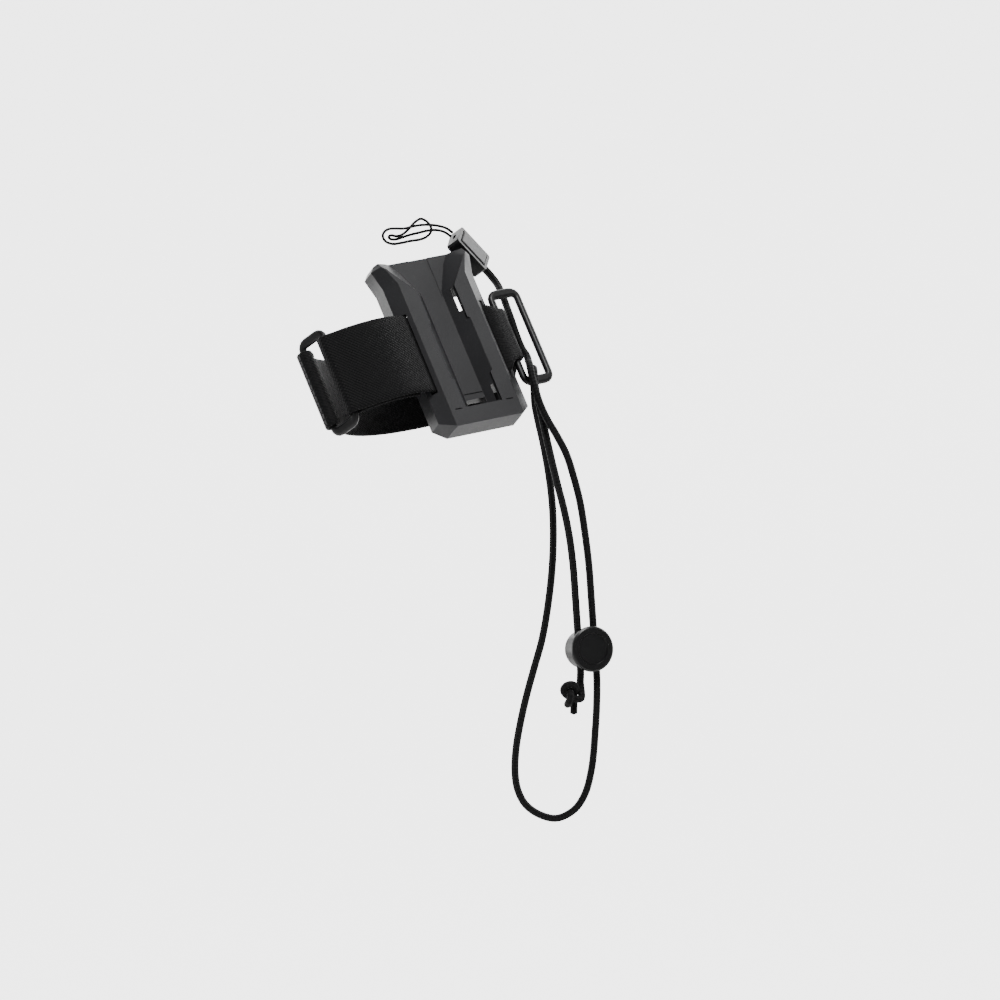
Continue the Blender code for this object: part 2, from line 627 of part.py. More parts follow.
def build():
    clear_scene()
    moulded = material("moulded_plastic", 0.065, 0.55)
    inner = material("moulded_plastic_cover", 0.05, 0.6)
    ring_black = material("ring_plastic", 0.03, 0.45)
    webbing = material("black_webbing", 0.02, 0.9)
    hook = material("hook_tape", 0.015, 0.9)
    cord = material("braided_cord", 0.02, 0.8)
    steel = material("plated_steel", 0.5, 0.3, 1.0)

    cradle = empty("cradle_lean", turn=(-LEAN_BACK, 0, 0))
    cradle = empty("cradle_frame", cradle, turn=(0, -ROLL, 0))
    tether = empty("tether_frame", turn=(0, 0, -TETHER_TURN))

    cradle_shell(moulded, cradle)
    back_cover(inner, cradle)
    cover_screws(steel, cradle)
    strap_webbing(webbing, cradle)
    hook_tab(hook, cradle)
    right_bar = empty("right_ring_axis", cradle, (*RIGHT_BAR, 0))
    webbing_ring("right_ring", ring_black, right_bar)
    left_bar = empty("left_ring_axis", cradle, (*LEFT_BAR, 0), (0, 0, LEFT_RING_TURN))
    webbing_ring("left_ring", ring_black, left_bar)

    upper, loop, turn, tail = tether_routes()
    for name, route in (("upper", upper), ("loop", loop), ("turn", turn), ("tail", tail)):
        cord_tube(f"tether_cord_{name}", route, CORD_DIAMETER, cord, tether, 4.5)
    cord_tube("lanyard_cord", lanyard_route(), LANYARD_DIAMETER, cord, tether, 1.7)
    knot = turned([(0, -11.5), (1.5, -11.4), (1.5, -4.4), (3.2, -3.6), (4.6, -1.2), (4.7, 1.2)]
                  + [(3.6, 3.6), (1.6, 4.6), (0, 4.6)], 20)
    knot = moved(knot, axis="X", degrees=90)
    add_mesh("tether_knot", moved(knot, (56.6, -8.6, -151.7)), cord, tether, smooth=60)

    box = empty("connector_frame", tether, CONNECTOR_PLACE, CONNECTOR_TURN)
    connector_body(ring_black, box)
    connector_cover(moulded, box)
    cord_stop("tether_stop", (4.6, 0, -0.2), (2.4, 3.0, 1.7), cord, box)
    cord_stop("lanyard_stop", (-5.4, 0, -0.2), (1.8, 2.6, 1.5), cord, box)

    lean = empty("lock_lean", tether, LOCK_PLACE, (0, LOCK_LEAN, 0))
    lock = empty("lock_frame", lean, turn=(0, 0, TETHER_TURN))
    lock_barrel(ring_black, lock)
    lock_plunger(ring_black, lock)
    lock_spring(steel, lock)


build()
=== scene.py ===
"""Looks of a backpack-strap cradle with its webbing, rings, tether cord, lock and lanyard."""
import math

import bmesh
import bpy
import numpy as np
from mathutils import Matrix, Vector


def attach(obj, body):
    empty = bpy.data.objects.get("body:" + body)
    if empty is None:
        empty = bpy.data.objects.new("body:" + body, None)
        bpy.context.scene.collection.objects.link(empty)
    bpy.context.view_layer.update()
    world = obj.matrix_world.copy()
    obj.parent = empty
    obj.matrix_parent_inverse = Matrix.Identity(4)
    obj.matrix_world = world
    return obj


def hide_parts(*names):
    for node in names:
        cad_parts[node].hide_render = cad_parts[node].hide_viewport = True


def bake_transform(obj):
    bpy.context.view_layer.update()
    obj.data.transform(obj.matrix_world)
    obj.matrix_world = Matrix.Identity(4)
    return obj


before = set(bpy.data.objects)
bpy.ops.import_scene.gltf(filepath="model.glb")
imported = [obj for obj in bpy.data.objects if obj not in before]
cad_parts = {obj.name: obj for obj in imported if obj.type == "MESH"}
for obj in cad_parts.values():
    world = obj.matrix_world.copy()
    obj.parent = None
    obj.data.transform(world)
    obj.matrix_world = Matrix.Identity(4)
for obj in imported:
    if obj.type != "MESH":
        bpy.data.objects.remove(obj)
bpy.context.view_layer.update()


# ---------------------------------------------------------------- camera
# A long lens, level with the middle of the hanging cord, turned as the wearer is seen.

VIEW_TURN = math.radians(-24.6)
LENS = 200.0
FRAME_WIDTH = 0.44
right_way = Vector((math.cos(VIEW_TURN), math.sin(VIEW_TURN), 0))
view_way = Vector((-math.sin(VIEW_TURN), math.cos(VIEW_TURN), 0))
aim = right_way * 0.02398 + Vector((0, 0, -0.0665))

camera_data = bpy.data.cameras.new("camera")
camera_data.lens = LENS
camera_data.sensor_width = 36.0
camera_data.clip_end = 20.0
camera = bpy.data.objects.new("camera", camera_data)
bpy.context.scene.collection.objects.link(camera)
camera.location = aim - view_way * (FRAME_WIDTH * LENS / 36.0)
camera.rotation_euler = (math.radians(90), 0, VIEW_TURN)
bpy.context.scene.camera = camera


# ---------------------------------------------------------------- tether cord
# One length of braided nylon cord, a little over 3 mm thick when it hangs loose. It leaves the
# connector, goes round the ring's end bar twice and hangs down through the cord lock.

def linear(code):
    """An sRGB hex colour as linear red, green, blue and alpha."""
    parts = [int(code[i:i + 2], 16) / 255 for i in (1, 3, 5)]
    return tuple(c / 12.92 if c <= 0.04045 else ((c + 0.055) / 1.055) ** 2.4 for c in parts) + (1.0,)


def add_node(material, kind, settings=None, links=None):
    """Adds one node. Settings name its inputs or properties, links join inputs to sockets."""
    node = material.node_tree.nodes.new(kind)
    for name, value in (settings or {}).items():
        if isinstance(name, int) or name in node.inputs:
            node.inputs[name].default_value = value
        else:
            setattr(node, name, value)
    for name, socket in (links or {}).items():
        material.node_tree.links.new(socket, node.inputs[name])
    return node


def start_material(name, roughness, **inputs):
    """A Principled material with its uniform values set on the shader's own sockets."""
    made = bpy.data.materials.new(name)
    made.use_nodes = True
    shader = made.node_tree.nodes["Principled BSDF"]
    shader.inputs["Roughness"].default_value = roughness
    for socket, value in inputs.items():
        shader.inputs[socket.replace("_", " ")].default_value = value
    return made, shader


def colour_ramp(material, factor, low, high, span=(0.3, 0.7)):
    """Two colours blended by a pattern."""
    ramp = add_node(material, "ShaderNodeValToRGB", links={"Fac": factor})
    ramp.color_ramp.elements[0].position = span[0]
    ramp.color_ramp.elements[1].position = span[1]
    ramp.color_ramp.elements[0].color = linear(low)
    ramp.color_ramp.elements[1].color = linear(high)
    return ramp


def braided_cord(name, carriers, pitch, dark, light):
    """Braided nylon: strands cross in diamonds, pitch diameters long. Dull, with a soft sheen."""
    made, shader = start_material(name, 0.7, Specular_IOR_Level=0.16, Sheen_Weight=0.03)
    uv = add_node(made, "ShaderNodeUVMap", {"uv_map": "along"})
    parts = add_node(made, "ShaderNodeSeparateXYZ", links={"Vector": uv.outputs["UV"]})
    around = add_node(made, "ShaderNodeMath", {"operation": "MULTIPLY", 1: carriers * math.pi},
                      {0: parts.outputs["X"]})
    along = add_node(made, "ShaderNodeMath", {"operation": "MULTIPLY", 1: 2 * math.pi / pitch},
                     {0: parts.outputs["Y"]})
    waves = []
    for operation in ("ADD", "SUBTRACT"):
        mixed = add_node(made, "ShaderNodeMath", {"operation": operation},
                         {0: around.outputs[0], 1: along.outputs[0]})
        wave = add_node(made, "ShaderNodeMath", {"operation": "SINE"}, {0: mixed.outputs[0]})
        waves.append(wave.outputs[0])
    product = add_node(made, "ShaderNodeMath", {"operation": "MULTIPLY"},
                       {0: waves[0], 1: waves[1]})
    height = add_node(made, "ShaderNodeMath", {"operation": "MULTIPLY_ADD", 1: 0.5, 2: 0.5},
                      {0: product.outputs[0]})
    fuzz = add_node(made, "ShaderNodeTexNoise", {"Scale": 1500.0, "Detail": 3.0},
                    {"Vector": add_node(made, "ShaderNodeTexCoord").outputs["Object"]})
    ramp = colour_ramp(made, height.outputs[0], dark, light, (0.15, 0.85))
    tint = add_node(made, "ShaderNodeMix", {"data_type": "RGBA", "blend_type": "OVERLAY",
                                            "Factor": 0.5})
    made.node_tree.links.new(ramp.outputs["Color"], tint.inputs["A"])
    made.node_tree.links.new(fuzz.outputs["Fac"], tint.inputs["B"])
    made.node_tree.links.new(tint.outputs["Result"], shader.inputs["Base Color"])
    bump = add_node(made, "ShaderNodeBump", {"Strength": 0.8, "Distance": 0.00035},
                    {"Height": height.outputs[0]})
    made.node_tree.links.new(bump.outputs["Normal"], shader.inputs["Normal"])
    return made


def smooth_route(points, spacing):
    """Evenly spaced points on a centripetal curve through the given ones."""
    known = [np.array(point, float) for point in points]
    known = [2 * known[0] - known[1]] + known + [2 * known[-1] - known[-2]]
    fine = []
    for a, b, c, d in zip(known, known[1:], known[2:], known[3:]):
        steps = [max(np.linalg.norm(q - p), 1e-6) ** 0.5 for p, q in ((a, b), (b, c), (c, d))]
        t1 = steps[0]
        t2 = t1 + steps[1]
        t3 = t2 + steps[2]
        for t in np.linspace(t1, t2, 12, endpoint=False):
            ab = (t1 - t) / t1 * a + t / t1 * b
            bc = (t2 - t) / (t2 - t1) * b + (t - t1) / (t2 - t1) * c
            cd = (t3 - t) / (t3 - t2) * c + (t - t2) / (t3 - t2) * d
            abc = (t2 - t) / t2 * ab + t / t2 * bc
            bcd = (t3 - t) / (t3 - t1) * bc + (t - t1) / (t3 - t1) * cd
            fine.append((t2 - t) / (t2 - t1) * abc + (t - t1) / (t2 - t1) * bcd)
    fine.append(known[-2])
    fine = np.array(fine)
    along = np.concatenate([[0], np.cumsum(np.linalg.norm(np.diff(fine, axis=0), axis=1))])
    wanted = np.linspace(0, along[-1], max(2, round(along[-1] / spacing) + 1))
    return np.stack([np.interp(wanted, along, fine[:, k]) for k in range(fine.shape[1])], axis=1)


def round_cord(name, route, diameter, sides, finish):
    """A tube along a route, with domed ends and a UV map: round it, then diameters along it."""
    made = bmesh.new()
    uv = made.loops.layers.uv.new("along")
    way = np.gradient(route, axis=0)
    way /= np.linalg.norm(way, axis=1)[:, None]
    across = np.cross(way[0], (0.3, 0.9, 0.2))
    radius = diameter / 2
    rings = []
    for point, forward in zip(route, way):
        across = across - forward * np.dot(across, forward)
        across /= np.linalg.norm(across)
        other = np.cross(forward, across)
        angles = [2 * math.pi * i / sides for i in range(sides)]
        rings.append([
            made.verts.new(point + radius * (math.cos(a) * across + math.sin(a) * other))
            for a in angles
        ])
    step = np.linalg.norm(np.diff(route, axis=0), axis=1)
    along = np.concatenate([[0], np.cumsum(step)]) / diameter
    for k, (low, high) in enumerate(zip(rings, rings[1:])):
        for i in range(sides):
            j = (i + 1) % sides
            face = made.faces.new((low[i], low[j], high[j], high[i]))
            spots = ((i, k), (i + 1, k), (i + 1, k + 1), (i, k + 1))
            for loop, (turn, row) in zip(face.loops, spots):
                loop[uv].uv = (turn / sides, along[row])
    for ring, centre, forward in ((rings[0], route[0], -way[0]), (rings[-1], route[-1], way[-1])):
        tip = made.verts.new(centre + forward * diameter * 0.22)
        for i in range(sides):
            made.faces.new((ring[i], ring[(i + 1) % sides], tip))
    bmesh.ops.recalc_face_normals(made, faces=made.faces)
    mesh = bpy.data.meshes.new(name)
    made.to_mesh(mesh)
    made.free()
    mesh.shade_smooth()
    mesh.materials.append(finish)
    piece = bpy.data.objects.new(name, mesh)
    bpy.context.scene.collection.objects.link(piece)
    return piece


def hanging(points):
    """Tether points (right, back, up) in millimetres, as places in metres."""
    return np.array([right_way * (x / 1000) + view_way * (y / 1000) + Vector((0, 0, z / 1000))
                     for x, y, z in points])


upper = [(16.5, 32.0, 37.2), (19.4, 33.3, 34.1), (22.4, 31.3, 30.2), (24.6, 25.6, 25.8)]
upper += [(26.6, 19.2, 20.2), (28.9, 13.6, 13.6), (31.4, 10.0, 6.1), (33.9, 7.2, 0.0)]
upper += [(35.8, 4.6, -2.9), (36.6, 1.0, -5.7), (36.9, -2.8, -6.6), (37.5, -6.6, -9.6)]
upper += [(38.4, -8.6, -14.0), (39.7, -9.2, -18.6), (41.4, -9.4, -24.0)]
loop = [(44.6, -9.5, -31.0), (48.4, -9.3, -37.4), (53.0, -8.8, -46.2)]
loop += [(56.3, -8.2, -56.4), (59.1, -7.4, -67.4), (61.4, -6.6, -81.9), (63.0, -5.7, -95.0)]
loop += [(64.1, -5.45, -110.0), (65.6, -5.42, -131.9), (66.5, -5.4, -145.0)]
loop += [(66.4, -5.2, -157.0), (65.8, -4.8, -168.0), (64.3, -4.4, -184.0)]
loop += [(61.3, -3.8, -195.6), (56.6, -3.0, -202.6), (49.0, -2.2, -206.4), (41.4, -1.4, -204.8)]
loop += [(35.2, -0.6, -200.4), (31.8, 0.4, -194.0), (30.6, 1.4, -186.5), (31.0, 2.6, -176.5)]
loop += [(32.8, 3.8, -165.5), (35.8, 5.0, -152.3), (39.2, 6.0, -140.0), (42.5, 6.6, -128.1)]
loop += [(45.0, 7.0, -114.0), (46.9, 7.0, -97.3), (47.5, 6.6, -82.0), (47.0, 6.0, -68.0)]
loop += [(45.3, 5.4, -54.0), (42.9, 4.8, -41.0), (40.4, 4.3, -30.0)]
turn = [(39.3, 4.1, -24.0), (39.0, 4.1, -18.6), (38.7, 4.5, -13.8), (38.5, 3.2, -9.6)]
turn += [(38.7, -0.2, -8.5), (39.0, -3.2, -10.5), (39.1, -4.6, -13.8), (39.8, -5.0, -18.6)]
turn += [(41.0, -5.3, -24.0)]
tail = [(42.6, -5.6, -31.0), (45.9, -6.2, -45.8), (49.3, -7.0, -59.9)]
tail += [(52.0, -7.6, -70.5), (54.3, -8.0, -81.9), (56.0, -8.4, -95.0), (57.1, -8.55, -110.0)]
tail += [(58.6, -8.58, -131.9), (59.3, -8.6, -141.0), (59.2, -8.6, -146.0)]
TETHER = 0.0033

nylon_braid = braided_cord("braided nylon cord", 8, 0.9, "#020203", "#141415")
tether_route = smooth_route(hanging(upper + loop + turn + tail), 0.0014)
tether = round_cord("tether_cord", tether_route, TETHER, 12, nylon_braid)


# ---------------------------------------------------------------- tether knot
# An overhand knot pulled tight in the cord's end, with a short cut and sealed tail. It is a
# trefoil opened where the cord comes in, with its outermost lobe pulled in, turned a little
# round the strand that comes from the lock. Sizes are in millimetres.

LOBE = 1.6
LOBE_LIMIT = 1.9
DEPTH = 1.85
KNOT_TURN = math.radians(50)
KNOT_STEPS = 32
OPENING = 0.2
strand = (59.1, -8.6)
knot_middle = (54.9, -7.2, -151.6)
knot_points = [(*strand, -145.6)]
for step in range(2, KNOT_STEPS - 1):
    share = step / KNOT_STEPS
    t = math.pi - 2 * math.pi * share
    out = -(math.cos(t) - 2 * math.cos(2 * t))
    out = min(out, LOBE_LIMIT + (out - LOBE_LIMIT) * 0.4) * LOBE
    rise = (math.sin(t) + 2 * math.sin(2 * t)) * LOBE
    apart = 0.9 * (max(0, 1 - (1 - share) / OPENING) - max(0, 1 - share / OPENING))
    depth = (apart - math.sin(3 * t)) * DEPTH
    across = knot_middle[0] - strand[0] + out
    deep = knot_middle[1] - strand[1] + depth
    turned = (strand[0] + across * math.cos(KNOT_TURN) - deep * math.sin(KNOT_TURN),
              strand[1] + across * math.sin(KNOT_TURN) + deep * math.cos(KNOT_TURN))
    knot_points.append((*turned, knot_middle[2] + rise))
knot_points += [(56.4, -6.7, -153.4), (56.4, -7.6, -157.0), (56.3, -8.2, -160.0)]  # its tail
knot_route = smooth_route(hanging(knot_points), 0.0008)
tether_knot = round_cord("overhand_knot", knot_route, TETHER, 12, nylon_braid)
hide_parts("tether_knot")
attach(tether_knot, "cradle")

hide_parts("tether_cord_upper", "tether_cord_loop", "tether_cord_turn", "tether_cord_tail")
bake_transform(tether)


# ---------------------------------------------------------------- lanyard loop
# A thin, closed nylon loop from the connector, which the device's eye is looped through.
# It lies a little twisted on the wearer's strap, in a plane that leans back like the cradle.
# Each point is right, lift off that plane, and up, in millimetres.

LANYARD = 0.0012
thin = [(2.9, 0, 52.4), (0.2, 0, 54.3), (-3.2, 0, 55.3), (-6.8, 0, 55.7), (-10.5, 0, 55.6)]
thin += [(-14.0, 0, 55.0), (-18.4, 0, 53.8), (-22.2, 0, 53.7), (-25.2, 0, 53.4)]
thin += [(-27.3, 0, 51.9), (-27.8, 0, 49.9), (-26.6, 0, 47.8), (-23.7, 0.2, 46.7)]
thin += [(-19.8, 0.2, 47.2), (-15.6, 0, 48.2), (-11.6, -0.2, 48.9), (-8.6, -0.6, 50.2)]
thin += [(-6.8, -1.4, 52.2), (-6.6, -1.8, 54.2), (-7.8, -1.8, 56.4), (-9.9, -1.4, 58.0)]
thin += [(-11.3, -1.4, 58.3), (-12.9, -1.6, 57.4), (-14.6, -1.8, 55.8), (-16.4, -1.5, 53.6)]
thin += [(-19.0, -0.6, 51.2), (-21.8, 0, 50.2), (-24.2, 0.9, 50.6), (-25.3, 1.8, 50.0)]
thin += [(-24.6, 1.8, 49.0), (-22.4, 1.5, 48.8), (-19.6, 1.4, 49.7), (-16.3, 1.3, 50.9)]
thin += [(-12.0, 1.3, 52.1), (-7.6, 1.2, 53.2), (-3.9, 0.8, 53.4), (-1.2, 0.4, 52.8)]
thin += [(0.9, 0.1, 51.6), (2.1, 0, 50.6)]
plane_start, plane_right, plane_up, plane_back = -3.2, 0.373, 0.444, 0.814
laid = [(x, (plane_start + plane_right * x + plane_up * z) / plane_back + lift, z)
        for x, lift, z in thin]
lanyard_route = smooth_route(hanging(laid), 0.0006)
fine_braid = braided_cord("fine braided nylon cord", 6, 1.2, "#040405", "#0a0a0b")
lanyard = round_cord("lanyard_loop", lanyard_route, LANYARD, 10, fine_braid)
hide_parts("lanyard_cord")
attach(lanyard, "right_ring")


# ---------------------------------------------------------------- cradle moulding
# One injection moulding in black ABS with a fine spark texture, so it is dark grey and
# satin. Its edges are slightly round, as they come from the tool.

LEAN_BACK = math.radians(26.4)
ROLL = math.radians(11.7)
SHARP = math.radians(25)
cradle_axes = Matrix.Rotation(-LEAN_BACK, 3, "X") @ Matrix.Rotation(-ROLL, 3, "Y")


def moulded_abs(name, dark, light, roughness, grain):
    """Moulded ABS: satin, with a fine tool texture and faint flow shades."""
    made, shader = start_material(name, roughness, Specular_IOR_Level=0.36)
    place = add_node(made, "ShaderNodeTexCoord")
    flow = add_node(made, "ShaderNodeTexNoise", {"Scale": 55.0, "Detail": 4.0},
                    {"Vector": place.outputs["Object"]})
    ramp = colour_ramp(made, flow.outputs["Fac"], dark, light, (0.35, 0.68))
    made.node_tree.links.new(ramp.outputs["Color"], shader.inputs["Base Color"])
    spark = add_node(made, "ShaderNodeTexNoise", {"Scale": 1000.0 / grain, "Detail": 2.0},
                     {"Vector": place.outputs["Object"]})
    rough = add_node(made, "ShaderNodeMapRange",
                     {"To Min": roughness - 0.07, "To Max": roughness + 0.09},
                     {"Value": spark.outputs["Fac"]})
    made.node_tree.links.new(rough.outputs["Result"], shader.inputs["Roughness"])
    bump = add_node(made, "ShaderNodeBump", {"Strength": 0.35, "Distance": 0.00012},
                    {"Height": spark.outputs["Fac"]})
    made.node_tree.links.new(bump.outputs["Normal"], shader.inputs["Normal"])
    return made


def rounded_copy(name, node, radius, finish):
    """A moulding's own shape with its sharp edges rounded off."""
    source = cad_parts[node]
    mesh = source.data.copy()
    mesh.name = name
    piece = bpy.data.objects.new(name, mesh)
    bpy.context.scene.collection.objects.link(piece)
    shape = bmesh.new()
    shape.from_mesh(mesh)
    bmesh.ops.remove_doubles(shape, verts=shape.verts, dist=0.00001)
    nearly_flat = math.radians(1)
    bmesh.ops.dissolve_limit(shape, angle_limit=nearly_flat, verts=shape.verts, edges=shape.edges)
    shape.to_mesh(mesh)
    shape.free()
    mesh.materials.clear()
    mesh.materials.append(finish)
    bevel = piece.modifiers.new("rounded edges", "BEVEL")
    bevel.width = radius
    bevel.segments = 2
    bevel.limit_method = "ANGLE"
    bevel.angle_limit = SHARP
    bevel.use_clamp_overlap = True
    mesh.shade_smooth()
    mesh.set_sharp_from_angle(angle=SHARP)
    weighted = piece.modifiers.new("flat faces stay flat", "WEIGHTED_NORMAL")
    weighted.weight = 100
    weighted.keep_sharp = False
    return piece


cradle_plastic = moulded_abs("spark-textured ABS moulding", "#212123", "#262628", 0.42, 0.55)
cradle = rounded_copy("cradle_moulding", "cradle_shell", 0.0004, cradle_plastic)
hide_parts("cradle_shell")
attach(cradle, "cradle")


# ---------------------------------------------------------------- back cover and screws
# The cover is a plainer ABS plate; four zinc-plated self-tapping screws hold it.

cover_plastic = moulded_abs("plain ABS plate", "#19191b", "#202022", 0.5, 0.7)
cover = rounded_copy("cover_plate", "back_cover", 0.0002, cover_plastic)
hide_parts("back_cover")
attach(cover, "cradle")

zinc, zinc_shader = start_material("zinc-plated steel", 0.32, Metallic=1.0)
zinc_place = add_node(zinc, "ShaderNodeTexCoord")
zinc_cloud = add_node(zinc, "ShaderNodeTexNoise", {"Scale": 900.0, "Detail": 3.0},
                      {"Vector": zinc_place.outputs["Object"]})
zinc_ramp = colour_ramp(zinc, zinc_cloud.outputs["Fac"], "#8f9296", "#b9bcc0")
zinc.node_tree.links.new(zinc_ramp.outputs["Color"], zinc_shader.inputs["Base Color"])
for number in range(1, 5):
    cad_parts[f"cover_screw_{number}"].material_slots[0].material = zinc
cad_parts["lock_spring"].material_slots[0].material = zinc


# ---------------------------------------------------------------- webbing
# One length of 38 mm black nylon webbing. It runs through the cradle and both rings and
# round the wearer's strap, and its end folds back through the left ring onto itself. Its
# path is in the cradle's axes, in millimetres, and bars are given by where their middles are.

WEBBING = 0.0015
RIGHT_BAR = (26.6, -8.0)
LEFT_BAR = (-57.5, -4.3)
BARS_APART = 13.0
RING_TURN = math.radians(115.5)
WRAP = 2.8
FOLD_APART = 3.2
YARN = 0.0008
PILE_FROM = 0.095
far_bar = (LEFT_BAR[0] + BARS_APART * math.cos(RING_TURN),
           LEFT_BAR[1] + BARS_APART * math.sin(RING_TURN))


def round_bar(centre, start, end, steps):
    """The webbing's middle line round a ring's bar, between two angles in degrees."""
    angles = [math.radians(start + (end - start) * i / steps) for i in range(steps + 1)]
    return [(centre[0] + WRAP * math.cos(a), centre[1] + WRAP * math.sin(a)) for a in angles]


def set_back(line, distance):
    """A line moved sideways, which is where a second layer of webbing lies."""
    flat = np.array(line, float)
    way = np.gradient(flat, axis=0)
    way /= np.linalg.norm(way, axis=1)[:, None]
    return [tuple(p) for p in flat + np.stack([way[:, 1], -way[:, 0]], axis=1) * distance]


full = (-23.5, 14.5)  # the webbing's lower and upper edges, where it lies flat
front_line = [(-26.5, -13.1), (-33.0, -13.9), (-41.0, -13.0), (-49.0, -10.8), (-54.5, -8.4)]
folded = list(reversed(set_back(list(reversed(front_line)), -FOLD_APART)))
stations = [(x, y, *full) for x, y in folded]
stations += [(x, y, *full) for x, y in round_bar(LEFT_BAR, 62, 248, 9)]
stations += [(x, y, *full) for x, y in reversed(front_line)]
stations += [(x, y, *full) for x, y in [(-21.4, -11.6), (-17.2, -8.2), (-13.4, -4.9), (-10.0, -3.8)]]
stations += [(0, -3.8, *full), (10.0, -3.8, *full), (13.4, -4.9, *full)]
stations += [(17.2, -8.2, -22.8, 14.0), (20.9, -11.0, -20.0, 12.4), (23.6, -11.4, -17.0, 10.5)]
stations += [(x, y, -15.5, 9.5) for x, y in round_bar(RIGHT_BAR, -86, 4, 5)]
stations += [(29.2, -3.0, -15.5, 10.0), (28.9, 3.5, -19.0, 12.0)]
rear = [(27.6, 10.5), (23.5, 18.0), (15.0, 23.8), (3.0, 26.6), (-12.0, 27.4)]
rear += [(-28.0, 26.4), (-42.0, 23.0), (-52.0, 18.0), (-57.6, 13.2)]
stations += [(x, y, *full) for x, y in rear]
stations += [(x, y, -22.9, 13.9) for x, y in round_bar(far_bar, 58, 322, 11)]


def woven_nylon(name, pile):
    """Black nylon webbing in a plain weave. The brushed loop face has a soft, mottled pile
    over the same weave."""
    made, shader = start_material(name, 0.62, Specular_IOR_Level=0.14,
                                  Sheen_Weight=0.05 if pile else 0.02)
    uv = add_node(made, "ShaderNodeUVMap", {"uv_map": "along"})
    parts = add_node(made, "ShaderNodeSeparateXYZ", links={"Vector": uv.outputs["UV"]})
    waves = []
    for axis in ("X", "Y"):
        turn = add_node(made, "ShaderNodeMath", {"operation": "MULTIPLY", 1: math.pi / YARN},
                        {0: parts.outputs[axis]})
        wave = add_node(made, "ShaderNodeMath", {"operation": "SINE"}, {0: turn.outputs[0]})
        waves.append(wave.outputs[0])
    weave = add_node(made, "ShaderNodeMath", {"operation": "MULTIPLY"}, {0: waves[0], 1: waves[1]})
    weave = add_node(made, "ShaderNodeMath", {"operation": "MULTIPLY_ADD", 1: 0.5, 2: 0.5},
                     {0: weave.outputs[0]})
    place = add_node(made, "ShaderNodeTexCoord")
    scale = 700.0 if pile else 1300.0
    fuzz = add_node(made, "ShaderNodeTexNoise", {"Scale": scale, "Detail": 5.0, "Roughness": 0.65},
                    {"Vector": place.outputs["Object"]})
    height = add_node(made, "ShaderNodeMix", {"data_type": "FLOAT", "Factor": 0.75 if pile else 0.3})
    made.node_tree.links.new(weave.outputs[0], height.inputs["A"])
    made.node_tree.links.new(fuzz.outputs["Fac"], height.inputs["B"])
    span = (0.35, 0.68) if pile else (0.15, 0.85)
    ramp = colour_ramp(made, height.outputs["Result"], "#020203", "#101011", span)
    made.node_tree.links.new(ramp.outputs["Color"], shader.inputs["Base Color"])
    depth = 0.0007 if pile else 0.00045
    bump = add_node(made, "ShaderNodeBump", {"Strength": 0.9, "Distance": depth},
                    {"Height": height.outputs["Result"]})
    made.node_tree.links.new(bump.outputs["Normal"], shader.inputs["Normal"])
    return made


def webbing_band(name, route, thickness, finishes):
    """A band along a route of (across, back, low, high), with rounded selvedges. Its UV map
    is metres along it and metres up it. Its second finish starts at PILE_FROM."""
    made = bmesh.new()
    uv = made.loops.layers.uv.new("along")
    flat = route[:, :2]
    way = np.gradient(flat, axis=0)
    way /= np.linalg.norm(way, axis=1)[:, None]
    out = np.stack([-way[:, 1], way[:, 0]], axis=1)
    half = thickness / 2 * 1000
    selvedge, corner_in = 0.7, 0.15
    step = np.linalg.norm(np.diff(flat, axis=0), axis=1)
    along = np.concatenate([[0], np.cumsum(step)]) / 1000
    rings = []
    for (x, y, low, high), (ox, oy) in zip(route, out):
        flat_part = high - low - 2 * selvedge
        rows = [(low + corner_in, 0.55), (low + selvedge, 1.0)]
        rows += [(low + selvedge + flat_part * k / 12, 1.0) for k in range(1, 12)]
        rows += [(high - selvedge, 1.0), (high - corner_in, 0.55)]
        loop = [(x + ox * half * w, y + oy * half * w, z) for z, w in rows]
        loop.append((x, y, high))
        loop += [(x - ox * half * w, y - oy * half * w, z) for z, w in reversed(rows)]
        loop.append((x, y, low))
        rings.append([made.verts.new(cradle_axes @ Vector(p) / 1000) for p in loop])
    count = len(rings[0])
    heights = [v[2] / 1000 for v in loop + loop[:1]]
    for k, (low, high) in enumerate(zip(rings, rings[1:])):
        for i in range(count):
            j = (i + 1) % count
            face = made.faces.new((low[i], low[j], high[j], high[i]))
            spots = ((i, k), (i + 1, k), (i + 1, k + 1), (i, k + 1))
            for corner, (row, column) in zip(face.loops, spots):
                corner[uv].uv = (along[column], heights[row])
            face.material_index = int(along[k] > PILE_FROM)
    for ring in (rings[0], rings[-1]):
        made.faces.new(ring)
    bmesh.ops.recalc_face_normals(made, faces=made.faces)
    mesh = bpy.data.meshes.new(name)
    made.to_mesh(mesh)
    made.free()
    mesh.shade_smooth()
    mesh.set_sharp_from_angle(angle=math.radians(60))
    for finish in finishes:
        mesh.materials.append(finish)
    piece = bpy.data.objects.new(name, mesh)
    bpy.context.scene.collection.objects.link(piece)
    return piece


band_route = smooth_route(stations, 0.8)
webbing = webbing_band("webbing_band", band_route, WEBBING,
                       [woven_nylon("woven nylon webbing", False),
                        woven_nylon("brushed loop webbing", True)])
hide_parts("strap_webbing")
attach(webbing, "cradle")


# ---------------------------------------------------------------- sewn seams
# Two rows of lockstitch in bonded polyester thread close the sewn fold round the left ring's
# far bar. Each stitch is a short curved length of thread on the surface.

